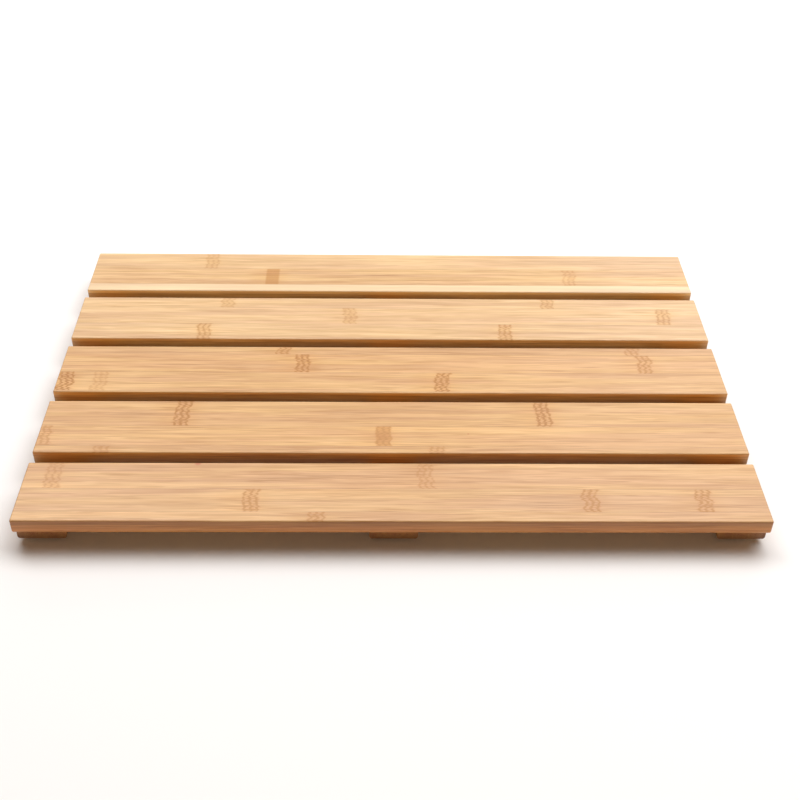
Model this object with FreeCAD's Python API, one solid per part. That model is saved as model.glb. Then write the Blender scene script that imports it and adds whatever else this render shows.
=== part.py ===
"""Bamboo duckboard bath mat.

Five wide slats of laminated bamboo lie side by side with a drainage gap between them. Three runners cross
under the slats, one at each end and one in the middle. Two countersunk wood screws, driven from below, hold
each slat to each runner. Nine push-in rubber feet keep the runners off the wet floor.

Units are millimetres. The origin is the centre of the mat at floor level. +X runs along the slats, +Y runs
from the front slat to the rear slat and +Z is up.
"""

import FreeCAD
import Part

import os

Vector = FreeCAD.Vector
UP = Vector(0, 0, 1)

# ---- Driving dimensions ----
SLAT_NAMES = ("front_slat", "front_middle_slat", "middle_slat", "rear_middle_slat", "rear_slat")
SLAT_LENGTH = 615.0
SLAT_WIDTH = 70.0
SLAT_THICKNESS = 14.0
SLAT_GAP = 12.5
SLAT_TOP_RADIUS = 1.3
SLAT_BOTTOM_RADIUS = 2.8
SLAT_END_RADIUS = 1.2  # round the whole outline of each end

RUNNER_NAMES = ("left_runner", "centre_runner", "right_runner")
RUNNER_WIDTH = 40.0
RUNNER_THICKNESS = 12.0
RUNNER_SIDE_INSET = 1.0  # from a slat's end to the outer side of an end runner
RUNNER_END_SETBACK = 6.0  # from the outer face of the front or rear slat to the runner's end
RUNNER_BOTTOM_RADIUS = 2.4
RUNNER_TOP_RADIUS = 1.0
RUNNER_END_RADIUS = 0.8

FOOT_RUNNER_LABELS = ("left", "centre", "right")
FOOT_ROW_LABELS = ("front", "middle", "rear")
FOOT_ROW_SLATS = (0, 2, 4)  # each row of feet stands under the middle of one of these slats
FOOT_HEIGHT = 4.0
FOOT_TOP_RADIUS = 10.0
FOOT_BOTTOM_RADIUS = 9.4
FOOT_RIM_RADIUS = 0.8
FOOT_STEM_RADIUS = 4.0
FOOT_STEM_LENGTH = 6.5
FOOT_STEM_CHAMFER = 0.8
FOOT_GRIP_GROOVE_RADII = (3.4, 6.2)
FOOT_GRIP_GROOVE_WIDTH = 0.9
FOOT_GRIP_GROOVE_DEPTH = 0.6
STEM_HOLE_CLEARANCE = 0.05
STEM_HOLE_EXTRA_DEPTH = 0.5

SCREW_SPACING = 40.0  # between the two screws that hold one slat to one runner
SCREW_LENGTH = 20.0
SCREW_HEAD_RADIUS = 3.5
SCREW_HEAD_RIM = 0.25
SCREW_HEAD_BELOW_SURFACE = 0.3
SCREW_SHANK_RADIUS = 1.75
SCREW_CORE_RADIUS = 1.25
SCREW_PLAIN_SHANK = 6.0  # from the head's face to the first thread
SCREW_THREAD_PITCH = 1.6
SCREW_THREAD_ROOT_SHARE = 0.2  # the share of each pitch that stays at the core's radius
SCREW_THREAD_CREST_SHARE = 0.7  # where in each pitch the crest lies
SCREW_POINT_LENGTH = 3.2
RECESS_SPAN = 4.2
RECESS_ARM_WIDTH = 0.95
RECESS_DEPTH = 1.7
RECESS_BOTTOM_SHARE = 0.45  # the recess tapers to this share of its span

CLEARANCE_HOLE_RADIUS = 2.0
COUNTERSINK_CLEARANCE = 0.05
PILOT_HOLE_CLEARANCE = 0.03
PILOT_HOLE_EXTRA_DEPTH = 0.4
CUT_OVERRUN = 1.0  # how far a hole's cutting shape runs past the face it opens in
TOLERANCE = 1e-5

# ---- Worked out from the driving dimensions ----
SLAT_COUNT = len(SLAT_NAMES)
SLAT_PITCH = SLAT_WIDTH + SLAT_GAP
MAT_DEPTH = SLAT_COUNT * SLAT_WIDTH + (SLAT_COUNT - 1) * SLAT_GAP
RUNNER_BOTTOM = FOOT_HEIGHT
SLAT_BOTTOM = RUNNER_BOTTOM + RUNNER_THICKNESS
RUNNER_LENGTH = MAT_DEPTH - 2 * RUNNER_END_SETBACK
OUTER_RUNNER_X = SLAT_LENGTH / 2 - RUNNER_SIDE_INSET - RUNNER_WIDTH / 2
RUNNER_X = (-OUTER_RUNNER_X, 0.0, OUTER_RUNNER_X)
SLAT_Y = tuple((i - (SLAT_COUNT - 1) / 2) * SLAT_PITCH for i in range(SLAT_COUNT))
SCREW_HEAD_FACE = RUNNER_BOTTOM + SCREW_HEAD_BELOW_SURFACE
COUNTERSINK_RADIUS = SCREW_HEAD_RADIUS + SCREW_HEAD_RIM + SCREW_HEAD_BELOW_SURFACE + COUNTERSINK_CLEARANCE


def screw_places(slat_y):
    """(x, y) of every screw that holds the slat whose middle is at slat_y."""
    return [(x, slat_y + side * SCREW_SPACING / 2) for x in RUNNER_X for side in (-1, 1)]


def board(length, width, thickness, bottom, top_radius, bottom_radius, end_radius):
    """A board along X, centred on the Z axis, with its long edges and the outlines of its ends rounded."""
    solid = Part.makeBox(length, width, thickness, Vector(-length / 2, -width / 2, bottom))
    for level, radius in ((bottom + thickness, top_radius), (bottom, bottom_radius)):
        long_edges = [
            e for e in solid.Edges
            if abs(e.BoundBox.XLength - length) < TOLERANCE
            and abs(e.BoundBox.ZMin - level) < TOLERANCE
            and abs(e.BoundBox.ZMax - level) < TOLERANCE
            and abs(abs(e.BoundBox.Center.y) - width / 2) < TOLERANCE
        ]
        solid = solid.makeFillet(radius, long_edges)
    ends = [e for e in solid.Edges if e.BoundBox.XLength < TOLERANCE]
    return solid.makeFillet(end_radius, ends)


def revolved(profile):
    """A solid turned about the Z axis from (radius, height) points, which start and end on the axis."""
    points = [Vector(radius, 0, height) for radius, height in profile]
    outline = Part.makePolygon(points + points[:1])
    return Part.Face(outline).revolve(Vector(0, 0, 0), UP, 360)


# ---- Slats ----
def pilot_hole():
    """The hole that a screw's thread cuts into a slat, with a drill-point end."""
    radius = SCREW_SHANK_RADIUS + PILOT_HOLE_CLEARANCE
    start = SLAT_BOTTOM - CUT_OVERRUN
    tip = SCREW_HEAD_FACE + SCREW_LENGTH + PILOT_HOLE_EXTRA_DEPTH
    return revolved([(0, start), (radius, start), (radius, tip - SCREW_POINT_LENGTH), (0, tip)])


def make_slat(slat_y):
    slat = board(
        SLAT_LENGTH, SLAT_WIDTH, SLAT_THICKNESS, SLAT_BOTTOM,
        SLAT_TOP_RADIUS, SLAT_BOTTOM_RADIUS, SLAT_END_RADIUS,
    )
    slat.translate(Vector(0, slat_y, 0))
    hole = pilot_hole()
    holes = [hole.translated(Vector(x, y, 0)) for x, y in screw_places(slat_y)]
    return slat.cut(holes)


# ---- Runners ----
def screw_clearance_hole():
    """A through hole in a runner, countersunk from below at 90 degrees."""
    below = RUNNER_BOTTOM - CUT_OVERRUN
    above = SLAT_BOTTOM + CUT_OVERRUN
    cone_top = RUNNER_BOTTOM + COUNTERSINK_RADIUS - CLEARANCE_HOLE_RADIUS
    return revolved([
        (0, below),
        (COUNTERSINK_RADIUS, below),
        (COUNTERSINK_RADIUS, RUNNER_BOTTOM),
        (CLEARANCE_HOLE_RADIUS, cone_top),
        (CLEARANCE_HOLE_RADIUS, above),
        (0, above),
    ])


def stem_hole():
    """The blind hole that a foot's stem is pushed into."""
    radius = FOOT_STEM_RADIUS + STEM_HOLE_CLEARANCE
    depth = FOOT_STEM_LENGTH + STEM_HOLE_EXTRA_DEPTH
    return Part.makeCylinder(radius, depth + CUT_OVERRUN, Vector(0, 0, RUNNER_BOTTOM - CUT_OVERRUN), UP)


def make_runner(runner_x):
    runner = board(
        RUNNER_LENGTH, RUNNER_WIDTH, RUNNER_THICKNESS, RUNNER_BOTTOM,
        RUNNER_TOP_RADIUS, RUNNER_BOTTOM_RADIUS, RUNNER_END_RADIUS,
    )
    runner.rotate(Vector(0, 0, 0), UP, 90)
    runner.translate(Vector(runner_x, 0, 0))
    screw_hole = screw_clearance_hole()
    cuts = [
        screw_hole.translated(Vector(x, y, 0))
        for slat_y in SLAT_Y
        for x, y in screw_places(slat_y)
        if x == runner_x
    ]
    cuts += [stem_hole().translated(Vector(runner_x, SLAT_Y[row], 0)) for row in FOOT_ROW_SLATS]
    return runner.cut(cuts)


# ---- Feet ----
def make_foot(x, y):
    """A tapered rubber disc with a rounded rim, two grip grooves underneath and a stem on top."""
    disc = Part.makeCone(FOOT_BOTTOM_RADIUS, FOOT_TOP_RADIUS, FOOT_HEIGHT, Vector(0, 0, 0), UP)
    rim = [e for e in disc.Edges if e.BoundBox.ZMax < 1e-6]
    foot = disc.makeFillet(FOOT_RIM_RADIUS, rim)
    stem_top = FOOT_HEIGHT + FOOT_STEM_LENGTH
    stem = revolved([
        (0, FOOT_HEIGHT),
        (FOOT_STEM_RADIUS, FOOT_HEIGHT),
        (FOOT_STEM_RADIUS, stem_top - FOOT_STEM_CHAMFER),
        (FOOT_STEM_RADIUS - FOOT_STEM_CHAMFER, stem_top),
        (0, stem_top),
    ])
    foot = foot.fuse(stem)
    for middle in FOOT_GRIP_GROOVE_RADII:
        outer = Part.makeCylinder(middle + FOOT_GRIP_GROOVE_WIDTH / 2, FOOT_GRIP_GROOVE_DEPTH)
        inner = Part.makeCylinder(middle - FOOT_GRIP_GROOVE_WIDTH / 2, FOOT_GRIP_GROOVE_DEPTH)
        foot = foot.cut(outer.cut(inner))
    foot.translate(Vector(x, y, 0))
    return foot


# ---- Screws ----
def cross_recess():
    """The tapered cross-shaped pocket in a screw's head, open downwards."""
    bottom_span = RECESS_SPAN * RECESS_BOTTOM_SHARE
    bottom_arm = RECESS_ARM_WIDTH * RECESS_BOTTOM_SHARE
    arm = Part.makeWedge(
        -RECESS_SPAN / 2, 0, -RECESS_ARM_WIDTH / 2,
        -bottom_arm / 2, -bottom_span / 2,
        RECESS_SPAN / 2, RECESS_DEPTH, RECESS_ARM_WIDTH / 2,
        bottom_arm / 2, bottom_span / 2,
    )
    # makeWedge narrows along +Y, so each arm is stood up to narrow along +Z.
    arm.rotate(Vector(0, 0, 0), Vector(1, 0, 0), 90)
    across = arm.copy()
    across.rotate(Vector(0, 0, 0), UP, 90)
    return arm.fuse(across)


def make_screw():
    """A countersunk wood screw on the Z axis, head down, its head's face at height 0.

    Rings stand in for the helical thread.
    """
    cone_top = SCREW_HEAD_RIM + SCREW_HEAD_RADIUS - SCREW_SHANK_RADIUS
    profile = [
        (0, 0),
        (SCREW_HEAD_RADIUS, 0),
        (SCREW_HEAD_RADIUS, SCREW_HEAD_RIM),
        (SCREW_SHANK_RADIUS, cone_top),
        (SCREW_SHANK_RADIUS, SCREW_PLAIN_SHANK),
        (SCREW_CORE_RADIUS, SCREW_PLAIN_SHANK + SCREW_SHANK_RADIUS - SCREW_CORE_RADIUS),
    ]
    thread_start = SCREW_PLAIN_SHANK + SCREW_THREAD_PITCH / 2
    point_start = SCREW_LENGTH - SCREW_POINT_LENGTH
    turns = int((point_start - thread_start) / SCREW_THREAD_PITCH)
    for turn in range(turns):
        start = thread_start + turn * SCREW_THREAD_PITCH
        profile.append((SCREW_CORE_RADIUS, start + SCREW_THREAD_ROOT_SHARE * SCREW_THREAD_PITCH))
        profile.append((SCREW_SHANK_RADIUS, start + SCREW_THREAD_CREST_SHARE * SCREW_THREAD_PITCH))
        profile.append((SCREW_CORE_RADIUS, start + SCREW_THREAD_PITCH))
    profile.append((SCREW_CORE_RADIUS, point_start))
    profile.append((0, SCREW_LENGTH))
    return revolved(profile).cut(cross_recess())


def make_screw_group(slat_y):
    """The separate screws that hold one slat."""
    screw = make_screw()
    places = [Vector(x, y, SCREW_HEAD_FACE) for x, y in screw_places(slat_y)]
    return Part.makeCompound([screw.translated(place) for place in places])


# ---- Export ----
def export(name, shape):
    """Writes one sub-part, after checking that every solid in it is valid and closed."""
    solids = shape.Solids
    assert solids and all(solid.isValid() and solid.isClosed() for solid in solids), name
    shape.exportStep(os.path.join("parts", name + ".step"))
    print(f"{name:24s} solids {len(solids)}, volume {shape.Volume:.1f}")


def main():
    os.makedirs("parts", exist_ok=True)
    for name, slat_y in zip(SLAT_NAMES, SLAT_Y):
        export(name, make_slat(slat_y))
        export(name + "_screws", make_screw_group(slat_y))
    for name, runner_x in zip(RUNNER_NAMES, RUNNER_X):
        export(name, make_runner(runner_x))
    for side, runner_x in zip(FOOT_RUNNER_LABELS, RUNNER_X):
        for row, slat_index in zip(FOOT_ROW_LABELS, FOOT_ROW_SLATS):
            export(f"{side}_{row}_foot", make_foot(runner_x, SLAT_Y[slat_index]))


main()
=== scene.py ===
"""Looks of the bamboo duckboard bath mat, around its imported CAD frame.

Everything is in metres in the CAD's frame: +X along the slats, +Y from the front slat to the rear one, +Z up.
Inside the bamboo materials, lengths are in millimetres in each board's own directions: u along the board, v
across it and w up through its thickness.
"""

import math

import bmesh
import bpy
from mathutils import Matrix, Vector


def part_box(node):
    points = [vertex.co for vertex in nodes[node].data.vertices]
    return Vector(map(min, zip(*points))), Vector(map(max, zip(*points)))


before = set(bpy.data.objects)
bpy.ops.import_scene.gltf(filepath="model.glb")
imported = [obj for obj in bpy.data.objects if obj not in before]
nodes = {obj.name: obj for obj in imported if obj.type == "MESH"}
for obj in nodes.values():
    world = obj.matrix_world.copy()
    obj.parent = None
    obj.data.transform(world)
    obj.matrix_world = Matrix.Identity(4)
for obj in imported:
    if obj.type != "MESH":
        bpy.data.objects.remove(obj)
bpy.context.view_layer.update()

MM = 0.001


# ---- Shader helpers ----
# The Mix node holds a set of sockets for each data type. These are the factor, A and B of two of them.
COLOUR_MIX_INPUTS = (0, 6, 7)
COLOUR_MIX_OUTPUT = 2
NUMBER_MIX_INPUTS = (0, 2, 3)
NUMBER_MIX_OUTPUT = 0


class Graph:
    """Short ways to add nodes to one shader tree. An input is another node's output or a plain value."""

    def __init__(self, tree):
        self.tree = tree

    def feed(self, socket, value):
        if isinstance(value, bpy.types.NodeSocket):
            self.tree.links.new(value, socket)
        else:
            socket.default_value = value

    def add(self, kind, inputs=None, **settings):
        node = self.tree.nodes.new(kind)
        for name, value in settings.items():
            setattr(node, name, value)
        for name, value in (inputs or {}).items():
            self.feed(node.inputs[name], value)
        return node

    def math(self, operation, *values, clamp=False):
        node = self.add("ShaderNodeMath", operation=operation, use_clamp=clamp)
        for socket, value in zip(node.inputs, values):
            self.feed(socket, value)
        return node.outputs[0]

    def total(self, *values):
        result = values[0]
        for value in values[1:]:
            result = self.math("ADD", result, value)
        return result

    def scaled(self, value, factor, offset=0.0):
        return self.math("MULTIPLY_ADD", value, factor, offset)

    def smooth(self, value, low, high):
        """0 below low, 1 above high and a soft step between them; low may be above high."""
        node = self.add("ShaderNodeMapRange", interpolation_type="SMOOTHSTEP")
        for name, part in (("Value", value), ("From Min", low), ("From Max", high)):
            self.feed(node.inputs[name], part)
        return node.outputs[0]

    def vector(self, x, y, z):
        return self.add("ShaderNodeCombineXYZ", {"X": x, "Y": y, "Z": z}).outputs[0]

    def split(self, vector):
        return self.add("ShaderNodeSeparateXYZ", {"Vector": vector}).outputs

    def noise(self, vector, detail=1.0, roughness=0.5, distortion=0.0):
        """A value about 0.5, over a pattern one unit in size."""
        inputs = {"Vector": vector, "Scale": 1.0, "Detail": detail, "Roughness": roughness}
        return self.add("ShaderNodeTexNoise", {**inputs, "Distortion": distortion}).outputs[0]

    def mix(self, amount, first, second, blend="MIX"):
        node = self.add("ShaderNodeMix", data_type="RGBA", blend_type=blend)
        for index, value in zip(COLOUR_MIX_INPUTS, (amount, first, second)):
            self.feed(node.inputs[index], value)
        return node.outputs[COLOUR_MIX_OUTPUT]

    def between(self, amount, first, second):
        node = self.add("ShaderNodeMix", data_type="FLOAT")
        for index, value in zip(NUMBER_MIX_INPUTS, (amount, first, second)):
            self.feed(node.inputs[index], value)
        return node.outputs[NUMBER_MIX_OUTPUT]

    def group(self, tree, **inputs):
        node = self.add("ShaderNodeGroup", node_tree=tree)
        for name, value in inputs.items():
            self.feed(node.inputs[name], value)
        return node.outputs


def new_group(name, inputs, outputs):
    """An empty node group of number sockets: its graph, its inputs by name and its output node."""
    tree = bpy.data.node_groups.new(name, "ShaderNodeTree")
    for socket in inputs:
        tree.interface.new_socket(socket, in_out="INPUT", socket_type="NodeSocketFloat")
    for socket in outputs:
        tree.interface.new_socket(socket, in_out="OUTPUT", socket_type="NodeSocketFloat")
    graph = Graph(tree)
    entry = graph.add("NodeGroupInput")
    leave = graph.add("NodeGroupOutput")
    return graph, {socket: entry.outputs[socket] for socket in inputs}, leave


def new_material(name, **constants):
    """A material with one Principled shader, whose unlinked sockets are set from constants."""
    material = bpy.data.materials.new(name)
    material.use_nodes = True
    graph = Graph(material.node_tree)
    shader = material.node_tree.nodes["Principled BSDF"]
    for socket, value in constants.items():
        shader.inputs[socket.replace("_", " ")].default_value = value
    return material, graph, shader


# ---- Bamboo ----
PALE_FIBRE = (0.735, 0.465, 0.240, 1.0)
DARK_FIBRE = (0.500, 0.262, 0.090, 1.0)
PALE_STRIP = (0.800, 0.615, 0.410, 1.0)
GLUE_LINE = (0.300, 0.140, 0.050, 1.0)
KNUCKLE = (0.400, 0.165, 0.028, 1.0)
SPECK = (0.480, 0.130, 0.045, 1.0)

# A cast multiplies the colour it lies on.
PINK_CAST = (1.02, 0.985, 0.975, 1.0)
YELLOW_CAST = (0.985, 1.01, 0.95, 1.0)
KNUCKLE_CAST = (0.95, 0.82, 0.52, 1.0)
GAP_SIDE_CAST = (1.00, 0.92, 0.66, 1.0)
FRONT_SIDE_CAST = (1.00, 0.73, 0.44, 1.0)
END_CAST = (0.62, 0.50, 0.42, 1.0)

PLY_SPLIT = 0.70  # where the joint between the two plies lies, as a share of the thickness
PLY_SHIFT = 41.0  # the lower ply's pattern is shifted along the board, so that it isn't the upper one's
PLY_BLEND = 0.05
STRIP_BLEND = 0.08
PLY_JOINT_FADE = (0.35, 0.10)  # distances from the joint at which its dark line is gone, and is full
STRIP_JOINT_FADE = (0.45, 0.10)
JOINT_BREAKS = (0.45, 0.12)  # how the fibres break the dark line up: a share of them, and a base
STRIP_SEED = 1.7
PLY_SEED = 5.1

# Each fibre pattern: a fibre's length and width, the noise's detail, a shift that sets the pattern apart from
# the others, and the noise levels it rises between, if it isn't left as plain noise.
FIBRE_PATTERNS = {
    "Fine": (34.0, 0.55, 1.0, 3.1, (0.30, 0.72)),
    "Medium": (55.0, 1.15, 1.0, 11.7, (0.30, 0.70)),
    "Wide": (130.0, 3.2, 2.0, 51.2, (0.34, 0.68)),
    "Broad": (150.0, 9.0, 1.0, 23.9, None),
    "Streaks": (42.0, 1.1, 1.0, 37.3, (0.54, 0.70)),
    "Glints": (32.0, 1.2, 1.0, 71.9, (0.58, 0.72)),
}
# Each wave pattern, which doesn't follow the fibres' drift: a wave's length and width, and a shift.
WAVE_PATTERNS = {
    "Rough": (6.0, 3.0, 5.3),
    "Wobble": (400.0, 8.0, 9.1),
    "Jag": (60.0, 1.7, 13.3),
    "Dashes": (6.5, 1.5, 29.1),
}
WOBBLE_REACH = 9.0
DASH_LEVELS = (0.52, 0.66)
SEED_SPREAD = 17.3  # how far apart in the noise two whole seeds lie
DRIFT_LENGTH = 110
DRIFT_WIDTH = 20
DRIFT_REACH = 3.0  # how far across the fibres wander

# What each fibre pattern adds to the darkness of the wood: a share of the pattern, and a base.
FIBRE_DARKNESS = {
    "Fine": (0.18, -0.04),
    "Medium": (0.30, 0.0),
    "Wide": (0.44, 0.0),
    "Streaks": (0.42, 0.0),
    "Glints": (-0.42, 0.0),
}
CAST_LEVELS = (0.38, 0.62)
PATCHES = (0.50, 0.75)  # the slow change of brightness: a share of the broad pattern, and a base

KNUCKLE_PATTERNS = ("Rough", "Streaks", "Wobble", "Jag", "Dashes")  # the strip's patterns that a knuckle uses
KNUCKLE_HALF_WIDTH = 6.5
KNUCKLE_OUTER_FADE = 1.4
KNUCKLE_INNER_FADE = 1.2
KNUCKLE_RAGGEDNESS = 7.0  # how far the band's edges run in and out
KNUCKLE_STRIP_FADE = (-0.1, 0.5)  # a knuckle starts between these distances inside its strip's edges
KNUCKLE_BODY = (0.86, 0.20)  # the band's darkness: a share of the dashes, and a base
TAIL_LENGTH = 30.0
TAIL_FULL = 2.0  # the distance within which the tail is at its strongest
TAIL_LEAN = 0.25  # how much shorter the tail is on the knuckle's right
TAIL_DARKNESS = 0.34
HALO_FROM_TAIL = 0.40
HALO_FROM_BAND = 0.75
JAG_REACH = 8.0
JAG_SPACING = 5.4  # between the jagged lines of one knuckle
JAG_LINE_FADE = (1.7, 0.3)  # distances from the line's middle at which it is gone, and is full
DASH_SHARE = 0.72
PLAIN_SHARE = 0.45  # the even darkness that a plain knuckle has instead of lines and dashes
CLEAR_LEVELS = (0.25, 0.0)  # how dark the lines and dashes may be where the wood between them shows paler
CLEAR_LIGHTNESS = 0.14

SPECK_STRETCH = 0.7  # below 1, a speck is longer along the board than across it
SPECK_CORE = 0.3  # the share of its radius in which a speck is full
SPECK_DARKNESS = 0.8

FLAT_LEVELS = (0.25, 0.75)  # how far a normal has to point up or down to belong to a broad face
END_LEVELS = (0.55, 0.9)  # and how far along the board to belong to the end grain
PAINTED_SIDE_FALL = 1.6  # how quickly the painted shade on a side face changes from its top down
# Painted shade on the side faces of the four rear slats and the runners, as their brightness at the top and
# along the bottom: brighter at the top, darker towards the bottom.
GAP_PAINTED_SIDE_SHADING = (1.6, 0.58)
NO_TONE = (1.0, 1.0, 1.0)

FINE_ROUGHNESS = 0.08
BROAD_ROUGHNESS = 0.10
KNUCKLE_ROUGHNESS = (0.12, 0.34)  # a share of the knuckles' darkness, and the wood's base
FIBRE_HEIGHT = -0.35
JOINT_HEIGHT = -0.5
KNUCKLE_HEIGHT = -0.45
BAMBOO_BUMP = {"Strength": 0.35, "Distance": 0.10 * MM}


def build_knuckle_group():
    """One culm knuckle across one strip: dark jagged lines and dashes, a warm halo, and streaks beside it."""
    graph, at, leave = new_group(
        "bamboo_knuckle",
        ("U", "V", "Centre", "Low", "High", "Strength", "Plain", *KNUCKLE_PATTERNS),
        ("Dark", "Halo", "Light"),
    )
    ragged_share = graph.scaled(at["Plain"], -1.0, 1.0)
    wobble = graph.math("MULTIPLY", at["Wobble"], ragged_share)
    offset = graph.math("SUBTRACT", graph.total(at["U"], wobble), at["Centre"])
    away = graph.math("ABSOLUTE", offset)
    above_low = graph.smooth(graph.math("SUBTRACT", at["V"], at["Low"]), *KNUCKLE_STRIP_FADE)
    below_high = graph.smooth(graph.math("SUBTRACT", at["High"], at["V"]), *KNUCKLE_STRIP_FADE)
    inside = graph.math("MULTIPLY", above_low, below_high)

    jagged = graph.total(offset, graph.scaled(at["Jag"], JAG_REACH, -JAG_REACH / 2))
    line = graph.smooth(graph.math("PINGPONG", jagged, JAG_SPACING / 2), *JAG_LINE_FADE)
    lines = graph.math("MAXIMUM", line, graph.scaled(at["Dashes"], DASH_SHARE))
    dash = graph.between(at["Plain"], lines, PLAIN_SHARE)
    ragged = graph.total(away, graph.scaled(at["Rough"], KNUCKLE_RAGGEDNESS, -KNUCKLE_RAGGEDNESS / 2))
    band = graph.smooth(
        graph.between(at["Plain"], ragged, away),
        KNUCKLE_HALF_WIDTH + KNUCKLE_OUTER_FADE,
        KNUCKLE_HALF_WIDTH - KNUCKLE_INNER_FADE,
    )
    reach = graph.smooth(graph.total(away, graph.scaled(offset, TAIL_LEAN)), TAIL_LENGTH, TAIL_FULL)
    tail = graph.math("MULTIPLY", reach, graph.math("MULTIPLY", reach, at["Streaks"]))

    body = graph.math("MULTIPLY", band, graph.scaled(dash, *KNUCKLE_BODY))
    shade = graph.math("MULTIPLY", graph.total(body, graph.scaled(tail, TAIL_DARKNESS)), inside)
    graph.feed(leave.inputs["Dark"], graph.math("MULTIPLY", shade, at["Strength"], clamp=True))
    glow = graph.total(graph.scaled(reach, HALO_FROM_TAIL), graph.scaled(band, HALO_FROM_BAND))
    halo = graph.math("MULTIPLY", glow, inside)
    graph.feed(leave.inputs["Halo"], graph.math("MULTIPLY", halo, at["Strength"], clamp=True))
    clear = graph.smooth(dash, *CLEAR_LEVELS)
    between_dashes = graph.math("MULTIPLY", clear, graph.math("MULTIPLY", band, inside))
    light = graph.math("MULTIPLY", between_dashes, ragged_share)
    lightness = graph.scaled(at["Strength"], CLEAR_LIGHTNESS)
    graph.feed(leave.inputs["Light"], graph.math("MULTIPLY", light, lightness, clamp=True))
    return graph.tree


def build_fibre_group():
    """The fibres of a bamboo strip, as a solid pattern drawn out along U."""
    graph, at, leave = new_group("bamboo_fibre", ("U", "V", "W", "Seed"), (*FIBRE_PATTERNS, *WAVE_PATTERNS))
    seed = graph.scaled(at["Seed"], SEED_SPREAD)
    drift = graph.noise(
        graph.vector(graph.scaled(at["U"], 1 / DRIFT_LENGTH), graph.scaled(at["V"], 1 / DRIFT_WIDTH), seed)
    )
    across = graph.total(at["V"], graph.scaled(drift, DRIFT_REACH, -DRIFT_REACH / 2))

    for name, (length, width, detail, shift, levels) in FIBRE_PATTERNS.items():
        place = graph.vector(
            graph.math("MULTIPLY_ADD", at["U"], 1 / length, seed),
            graph.scaled(across, 1 / width, shift),
            graph.scaled(at["W"], 1 / width, shift),
        )
        pattern = graph.noise(place, detail=detail)
        graph.feed(leave.inputs[name], graph.smooth(pattern, *levels) if levels else pattern)

    waves = {}
    for name, (length, width, shift) in WAVE_PATTERNS.items():
        along = graph.math("MULTIPLY_ADD", at["U"], 1 / length, seed)
        waves[name] = graph.noise(graph.vector(along, graph.scaled(at["V"], 1 / width, shift), shift))
    waves["Wobble"] = graph.scaled(waves["Wobble"], WOBBLE_REACH, -WOBBLE_REACH / 2)
    waves["Dashes"] = graph.smooth(waves["Dashes"], *DASH_LEVELS)
    for name, pattern in waves.items():
        graph.feed(leave.inputs[name], pattern)
    return graph.tree


knuckle_group = build_knuckle_group()
fibre_group = build_fibre_group()


def board_directions(graph, node, along):
    """u, v and w of a board, and its width and thickness, all in millimetres.

    u and v are measured from its middle, and w from its underside.
    """
    low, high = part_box(node)
    start = Vector(((low.x + high.x) / 2, (low.y + high.y) / 2, low.z))
    place = graph.add("ShaderNodeTexCoord").outputs["Object"]
    shifted = graph.add("ShaderNodeVectorMath", operation="SUBTRACT")
    graph.feed(shifted.inputs[0], place)
    graph.feed(shifted.inputs[1], start)
    parts = [graph.scaled(part, 1 / MM) for part in graph.split(shifted.outputs[0])]
    size = [edge / MM for edge in (high - low)]
    if along == "Y":
        return (parts[1], parts[0], parts[2]), size[0], size[2]
    return tuple(parts), size[1], size[2]


def lay_strips(graph, v, w, split, strips):
    """The number and brightness of the strip at each place, how far it is lightened towards PALE_STRIP
    (partly a painted sheen on the two rear slats), and the dark joints between them.
    """
    number = 0.0
    brightness = strips[0][1]
    paleness_and_painted_sheen = strips[0][2]
    joint = graph.smooth(graph.math("ABSOLUTE", graph.scaled(w, 1.0, -split)), *PLY_JOINT_FADE)
    for (_, before_bright, before_pale_and_painted_sheen), (edge, bright, pale_and_painted_sheen) in zip(strips, strips[1:]):
        past = graph.smooth(v, edge - STRIP_BLEND, edge + STRIP_BLEND)
        number = graph.total(past, number)
        brightness = graph.math("MULTIPLY_ADD", past, bright - before_bright, brightness)
        paleness_and_painted_sheen = graph.math("MULTIPLY_ADD", past, pale_and_painted_sheen - before_pale_and_painted_sheen, paleness_and_painted_sheen)
        near = graph.smooth(graph.math("ABSOLUTE", graph.scaled(v, 1.0, -edge)), *STRIP_JOINT_FADE)
        joint = graph.math("MAXIMUM", joint, near)
    return number, brightness, paleness_and_painted_sheen, joint


def mark_knuckles(graph, grain, u, v, edges, knuckles):
    """The darkness, warm halo and light of all the knuckles of a board."""
    dark = 0.0
    halo = 0.0
    light = 0.0
    patterns = {name: grain[name] for name in KNUCKLE_PATTERNS}
    for place, strip, strength, plain in knuckles:
        mark = graph.group(
            knuckle_group,
            U=u,
            V=v,
            Centre=place,
            Low=edges[strip],
            High=edges[strip + 1],
            Strength=strength,
            Plain=plain,
            **patterns,
        )
        dark = graph.math("MAXIMUM", mark["Dark"], dark)
        halo = graph.math("MAXIMUM", mark["Halo"], halo)
        light = graph.math("MAXIMUM", mark["Light"], light)
    return dark, halo, light


def mark_specks(graph, u, v, specks):
    """The darkness of all the specks of a board."""
    speck = 0.0
    for place, level, radius in specks:
        along = graph.scaled(u, SPECK_STRETCH, -SPECK_STRETCH * place)
        offset = graph.vector(along, graph.scaled(v, 1.0, -level), 0.0)
        distance = graph.add("ShaderNodeVectorMath", {0: offset}, operation="LENGTH").outputs[1]
        spot = graph.smooth(distance, radius, SPECK_CORE * radius)
        speck = graph.math("MAXIMUM", graph.scaled(spot, SPECK_DARKNESS), speck)
    return speck


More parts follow.
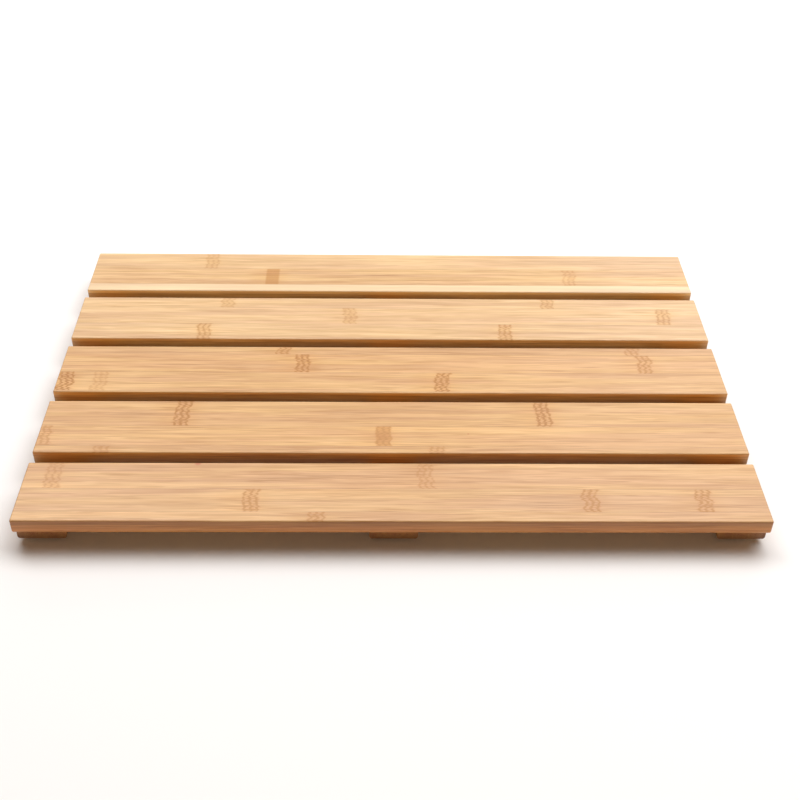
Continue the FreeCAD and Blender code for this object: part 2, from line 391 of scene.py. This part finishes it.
def wood_colour(graph, grain, paleness_and_painted_sheen):
    """The colour of the fibres, without joints and knuckles."""
    fibre = graph.total(*(graph.scaled(grain[name], *share) for name, share in FIBRE_DARKNESS.items()))
    colour = graph.mix(fibre, PALE_FIBRE, DARK_FIBRE)
    cast = graph.mix(graph.smooth(grain["Broad"], *CAST_LEVELS), PINK_CAST, YELLOW_CAST)
    colour = graph.mix(1.0, colour, cast, "MULTIPLY")
    # Lightening towards PALE_STRIP: the strips' own lighter colour, and on the two rear slats partly a
    # painted sheen.
    return graph.mix(paleness_and_painted_sheen, colour, PALE_STRIP)


def shade_faces(graph, colour, grain, brightness, depth, along, tone, sides, side_cast):
    """The colour with the board's own colour and a painted sheen over it, painted shade on the side faces and
    their redder cast, and the darker end grain.
    """
    normal = graph.split(graph.add("ShaderNodeNewGeometry").outputs["Normal"])
    flat = graph.smooth(graph.math("ABSOLUTE", normal[2]), *FLAT_LEVELS)
    ended = graph.smooth(graph.math("ABSOLUTE", normal["XY".index(along)]), *END_LEVELS)
    # Painted shade on the side faces, changing from one level along the bottom to another at the top.
    painted_side_level = graph.between(graph.math("POWER", depth, PAINTED_SIDE_FALL), sides[1], sides[0])
    painted_side_shade = graph.between(flat, painted_side_level, 1.0)
    patches = graph.scaled(grain["Broad"], *PATCHES)
    level = graph.math("MULTIPLY", graph.math("MULTIPLY", brightness, patches), painted_side_shade)
    colour = graph.mix(1.0, colour, level, "MULTIPLY")
    # Each board's own colour, with a painted sheen that makes the two rear slats paler and cooler.
    colour = graph.mix(1.0, colour, tone + (1.0,), "MULTIPLY")
    colour = graph.mix(flat, graph.mix(1.0, colour, side_cast, "MULTIPLY"), colour)
    return graph.mix(ended, colour, graph.mix(1.0, colour, END_CAST, "MULTIPLY"))


def bamboo(
    name, node, along, seed, strips, knuckles,
    specks=(), tone=NO_TONE, sides=GAP_PAINTED_SIDE_SHADING, side_cast=GAP_SIDE_CAST, **finish,
):
    """A board of two plies of bamboo strips glued side by side.

    strips lists (v of the strip's lower edge, brightness, lightening towards PALE_STRIP) from the board's
    front edge back.
    knuckles lists (u, strip number, strength, plainness). specks lists (u, v, radius). The board's own colour
    over the common one carries a painted sheen on the two rear slats. The side faces get a painted shade,
    given as their brightness at the top and along the bottom.
    """
    material, graph, shader = new_material(name, **finish)
    (u, v, w), width, thickness = board_directions(graph, node, along)

    # The lower ply is turned end for end, so its strips, joints and knuckles fall elsewhere.
    split = PLY_SPLIT * thickness
    upper = graph.smooth(w, split - PLY_BLEND, split + PLY_BLEND)
    side = graph.scaled(upper, 2.0, -1.0)
    ply_u = graph.total(graph.math("MULTIPLY", u, side), graph.scaled(upper, -PLY_SHIFT, PLY_SHIFT))
    ply_v = graph.math("MULTIPLY", v, side)

    edges = [edge for edge, _, _ in strips] + [width / 2]
    number, brightness, paleness_and_painted_sheen, joint = lay_strips(graph, ply_v, w, split, strips)
    grain_seed = graph.total(graph.scaled(number, STRIP_SEED), graph.scaled(upper, PLY_SEED, seed))
    grain = graph.group(fibre_group, U=ply_u, V=ply_v, W=w, Seed=grain_seed)
    dark, halo, light = mark_knuckles(graph, grain, ply_u, ply_v, edges, knuckles)
    speck = mark_specks(graph, u, v, specks)

    depth = graph.math("DIVIDE", w, thickness)
    colour = wood_colour(graph, grain, paleness_and_painted_sheen)
    colour = shade_faces(graph, colour, grain, brightness, depth, along, tone, sides, side_cast)
    broken = graph.math("MULTIPLY", joint, graph.scaled(grain["Medium"], *JOINT_BREAKS))
    colour = graph.mix(broken, colour, GLUE_LINE)
    colour = graph.mix(halo, colour, graph.mix(1.0, colour, KNUCKLE_CAST, "MULTIPLY"))
    colour = graph.mix(light, colour, PALE_STRIP)
    colour = graph.mix(dark, colour, KNUCKLE)
    colour = graph.mix(speck, colour, SPECK)
    graph.feed(shader.inputs["Base Color"], colour)

    rough = graph.total(
        graph.scaled(grain["Fine"], FINE_ROUGHNESS),
        graph.scaled(grain["Broad"], BROAD_ROUGHNESS),
        graph.scaled(dark, *KNUCKLE_ROUGHNESS),
    )
    graph.feed(shader.inputs["Roughness"], rough)
    height = graph.total(
        graph.scaled(grain["Fine"], FIBRE_HEIGHT),
        graph.scaled(grain["Medium"], FIBRE_HEIGHT),
        graph.scaled(joint, JOINT_HEIGHT),
        graph.scaled(dark, KNUCKLE_HEIGHT),
    )
    bump = graph.add("ShaderNodeBump", {"Height": height, **BAMBOO_BUMP})
    graph.feed(shader.inputs["Normal"], bump.outputs[0])
    return material


# What each slat's upper ply shows. Strips: (v of the lower edge, brightness, lightening towards PALE_STRIP).
# Knuckles: (u, strip, strength, plainness). Specks: (u, v, radius).
SLATS = {
    "front_slat": dict(
        tone=(0.90, 0.85, 0.77),
        # Its side faces are darker at the top and paler along the bottom.
        sides=(0.56, 1.02),
        side_cast=FRONT_SIDE_CAST,
        strips=((-35.0, 1.00, 0.0), (-24.0, 0.98, 0.0), (3.0, 1.02, 0.0)),
        knuckles=(
            (-284, 2, 0.45, 0), (-117, 1, 0.65, 0), (-63, 0, 0.6, 0), (27, 2, 0.4, 0), (162, 1, 0.7, 0),
            (256, 1, 0.7, 0),
        ),
        specks=((-165, 33.4, 2.6),),
    ),
    "front_middle_slat": dict(
        tone=(0.93, 0.88, 0.75),
        strips=((-35.0, 0.97, 0.0), (-26.0, 1.01, 0.0), (0.5, 0.98, 0.0)),
        knuckles=(
            (-303, 1, 0.5, 0), (-250, 0, 0.5, 0), (-186, 2, 1.0, 0), (-8, 1, 0.8, 0.5), (38, 0, 0.4, 0),
            (134, 2, 1.0, 0),
        ),
        specks=((66, -9.5, 0.9),),
    ),
    "middle_slat": dict(
        tone=(0.93, 0.89, 0.79),
        strips=((-35.0, 0.97, 0.0), (-33.0, 0.99, 0.0), (-5.0, 1.03, 0.0), (23.0, 0.97, 0.0)),
        knuckles=(
            (-299, 1, 1.0, 0), (-268, 1, 0.3, 0), (-102, 3, 0.7, 0), (-83, 2, 0.9, 0), (46, 1, 0.9, 0),
            (230, 3, 0.6, 0), (238, 2, 0.7, 0),
        ),
    ),
    # The two rear slats' colours are paler and cooler, and their strips lightened, as a painted sheen; the
    # rear slat's front strip is lightened most.
    "rear_middle_slat": dict(
        tone=(0.95, 0.98, 1.00),
        strips=((-35.0, 1.02, 0.1), (-9.5, 1.05, 0.1), (17.5, 1.04, 0.1)),
        knuckles=(
            (-182, 0, 0.55, 0), (-163, 2, 0.35, 0), (-41, 1, 0.35, 0), (110, 0, 0.6, 0), (157, 2, 0.45, 0),
            (271, 1, 0.55, 0),
        ),
    ),
    "rear_slat": dict(
        tone=(0.95, 0.97, 0.95),
        strips=((-35.0, 1.06, 0.6), (-23.0, 1.02, 0.0), (6.0, 1.04, 0.15)),
        knuckles=((-187, 2, 0.35, 0), (-122, 1, 0.8, 1.0), (185, 1, 0.35, 0)),
    ),
}
RUNNERS = {
    "left_runner": ((-150, 0, 0.7, 0), (95, 1, 0.6, 0)),
    "centre_runner": ((-90, 1, 0.6, 0), (130, 0, 0.7, 0)),
    "right_runner": ((-20, 0, 0.7, 0), (120, 1, 0.5, 0)),
}
RUNNER_TONE = (0.82, 0.76, 0.70)
RUNNER_STRIPS = ((-20.0, 1.0, 0.0), (4.0, 0.96, 0.0))
SLAT_LACQUER = {"Coat_Weight": 0.25, "Coat_Roughness": 0.22}
RUNNER_LACQUER = {"Coat_Weight": 0.1}
BOARD_SEED = 3.7  # the step from one board's seed to the next one's
FIRST_RUNNER_SEED = 40


def paint(node, material):
    for slot in nodes[node].material_slots:
        slot.material = material


def paint_boards():
    for number, (node, looks) in enumerate(SLATS.items()):
        paint(node, bamboo(f"{node}_bamboo", node, "X", BOARD_SEED * number, **SLAT_LACQUER, **looks))
    for number, (node, knuckles) in enumerate(RUNNERS.items()):
        seed = FIRST_RUNNER_SEED + BOARD_SEED * number
        wood = bamboo(
            f"{node}_bamboo", node, "Y", seed, RUNNER_STRIPS, knuckles, tone=RUNNER_TONE, **RUNNER_LACQUER
        )
        paint(node, wood)


# ---- Screws and feet ----
DARK_STEEL = (0.42, 0.41, 0.40, 1.0)
PALE_STEEL = (0.70, 0.69, 0.66, 1.0)
STEEL_GRAIN = 900.0  # noise cells to a metre, here and below
STEEL_ROUGHNESS = (0.30, 0.18)  # a share of the grain, and a base
STEEL_BUMP = {"Strength": 0.2, "Distance": 0.05 * MM}
CLEAN_RUBBER = (0.022, 0.022, 0.024, 1.0)
DUSTY_RUBBER = (0.060, 0.057, 0.052, 1.0)
RUBBER_GRAIN = 2600.0
DUST_GRAIN = 160.0
GRAIN_DETAIL = 3.0
DUST_LEVELS = (0.45, 0.75)
RUBBER_ROUGHNESS = (0.18, 0.55)
RUBBER_BUMP = {"Strength": 0.3, "Distance": 0.08 * MM}


def scaled_place(graph, scale):
    place = graph.add("ShaderNodeTexCoord").outputs["Object"]
    return graph.add("ShaderNodeVectorMath", {0: place, "Scale": scale}, operation="SCALE").outputs[0]


def steel():
    material, graph, shader = new_material("screw_steel", Metallic=1.0)
    grain = graph.noise(scaled_place(graph, STEEL_GRAIN), detail=GRAIN_DETAIL)
    graph.feed(shader.inputs["Base Color"], graph.mix(grain, DARK_STEEL, PALE_STEEL))
    graph.feed(shader.inputs["Roughness"], graph.scaled(grain, *STEEL_ROUGHNESS))
    bump = graph.add("ShaderNodeBump", {"Height": grain, **STEEL_BUMP})
    graph.feed(shader.inputs["Normal"], bump.outputs[0])
    return material


def rubber():
    material, graph, shader = new_material("foot_rubber")
    fine = graph.noise(scaled_place(graph, RUBBER_GRAIN))
    dusty = graph.smooth(graph.noise(scaled_place(graph, DUST_GRAIN), detail=GRAIN_DETAIL), *DUST_LEVELS)
    graph.feed(shader.inputs["Base Color"], graph.mix(dusty, CLEAN_RUBBER, DUSTY_RUBBER))
    graph.feed(shader.inputs["Roughness"], graph.scaled(dusty, *RUBBER_ROUGHNESS))
    bump = graph.add("ShaderNodeBump", {"Height": fine, **RUBBER_BUMP})
    graph.feed(shader.inputs["Normal"], bump.outputs[0])
    return material


def paint_fittings():
    metal = steel()
    soft = rubber()
    for node in nodes:
        if node.endswith("_screws"):
            paint(node, metal)
        elif node.endswith("_foot"):
            paint(node, soft)


# ---- Stage ----
FLOOR_HALF_SIZE = 2.0
FLOOR_SOLID_RADIUS = 1.15  # the floor fades into the white surround from here
FLOOR_CLEAR_RADIUS = 1.95
FLOOR_CELLS = 8
FLOOR_COLOUR = (0.90, 0.90, 0.90, 1.0)
FLOOR_FINISH = {"Roughness": 0.9, "Specular_IOR_Level": 0.1}


def add_floor():
    mesh = bpy.data.meshes.new("floor")
    shape = bmesh.new()
    bmesh.ops.create_grid(shape, x_segments=FLOOR_CELLS, y_segments=FLOOR_CELLS, size=FLOOR_HALF_SIZE)
    shape.to_mesh(mesh)
    shape.free()
    floor = bpy.data.objects.new("floor", mesh)
    bpy.context.scene.collection.objects.link(floor)
    material, graph, shader = new_material("floor_paper", Base_Color=FLOOR_COLOUR, **FLOOR_FINISH)
    place = graph.add("ShaderNodeTexCoord").outputs["Object"]
    distance = graph.add("ShaderNodeVectorMath", {0: place}, operation="LENGTH").outputs[1]
    graph.feed(shader.inputs["Alpha"], graph.smooth(distance, FLOOR_CLEAR_RADIUS, FLOOR_SOLID_RADIUS))
    mesh.materials.append(material)


WHITE_LIGHT = (1.0, 1.0, 1.0)
WARM_LIGHT = (1.0, 0.76, 0.52)
WHITE_SURROUND = (1.0, 1.0, 1.0, 1.0)
WARM_FILL = (1.0, 0.62, 0.38, 1.0)
FILL_STRENGTH = 0.13
SURROUND_STRENGTH = 1.0


def add_area_light(name, place, target, width, height, power, colour=WHITE_LIGHT):
    """A rectangular light at place that faces target. The sizes are in metres and the power in watts."""
    light = bpy.data.lights.new(name, "AREA")
    light.shape = "RECTANGLE"
    light.size = width
    light.size_y = height
    light.energy = power
    light.color = colour
    lamp = bpy.data.objects.new(name, light)
    lamp.location = place
    lamp.rotation_euler = (Vector(target) - Vector(place)).to_track_quat("-Z", "Y").to_euler()
    bpy.context.scene.collection.objects.link(lamp)


def add_lights():
    """A wide softbox above and behind the mat, cards around it, and a white surround that fills it weakly."""
    add_area_light("key_softbox", (0.40, 1.25, 2.95), (0.0, 0.0, 0.0), width=6.0, height=1.9, power=176.0)
    add_area_light("rear_card", (0.0, 3.2, 0.9), (0.0, 0.0, 0.1), width=5.0, height=1.6, power=30.0)
    add_area_light("right_card", (1.5, 2.5, 2.3), (0.0, 0.0, 0.0), width=2.0, height=2.4, power=27.0)
    add_area_light(
        "front_card", (0.0, -3.2, 0.75), (0.0, 0.0, 0.05),
        width=5.0, height=1.0, power=17.0, colour=WARM_LIGHT,
    )
    world = bpy.data.worlds.new("studio")
    world.use_nodes = True
    graph = Graph(world.node_tree)
    background = world.node_tree.nodes["Background"]
    # The surround is white where it is seen, and only a weak warm light on the mat.
    seen = graph.add("ShaderNodeLightPath").outputs["Is Camera Ray"]
    graph.feed(background.inputs["Color"], graph.mix(seen, WARM_FILL, WHITE_SURROUND))
    graph.feed(background.inputs["Strength"], graph.between(seen, FILL_STRENGTH, SURROUND_STRENGTH))
    bpy.context.scene.world = world


# ---- Camera ----
CAMERA_PLACE = Vector((-0.0145, -0.8811, 0.7088))
CAMERA_PITCH_DOWN = math.radians(39.07)
CAMERA_YAW_RIGHT = math.radians(1.467)
CAMERA_ROLL = math.radians(1.122)
CAMERA_LENS = 53.62
CAMERA_SENSOR_WIDTH = 36.0
CAMERA_REACH = 50.0


def add_camera():
    forward = Vector((
        math.sin(CAMERA_YAW_RIGHT) * math.cos(CAMERA_PITCH_DOWN),
        math.cos(CAMERA_YAW_RIGHT) * math.cos(CAMERA_PITCH_DOWN),
        -math.sin(CAMERA_PITCH_DOWN),
    ))
    level_right = Vector((math.cos(CAMERA_YAW_RIGHT), -math.sin(CAMERA_YAW_RIGHT), 0.0))
    right = Matrix.Rotation(-CAMERA_ROLL, 3, forward) @ level_right
    up = right.cross(forward)
    lens = bpy.data.cameras.new("camera")
    lens.lens = CAMERA_LENS
    lens.sensor_width = CAMERA_SENSOR_WIDTH
    lens.clip_end = CAMERA_REACH
    camera = bpy.data.objects.new("camera", lens)
    turn = Matrix((right, up, -forward)).transposed().to_4x4()
    camera.matrix_world = Matrix.Translation(CAMERA_PLACE) @ turn
    bpy.context.scene.collection.objects.link(camera)
    bpy.context.scene.camera = camera


paint_boards()
paint_fittings()
add_floor()
add_lights()
add_camera()
bpy.context.scene.view_settings.view_transform = "Standard"
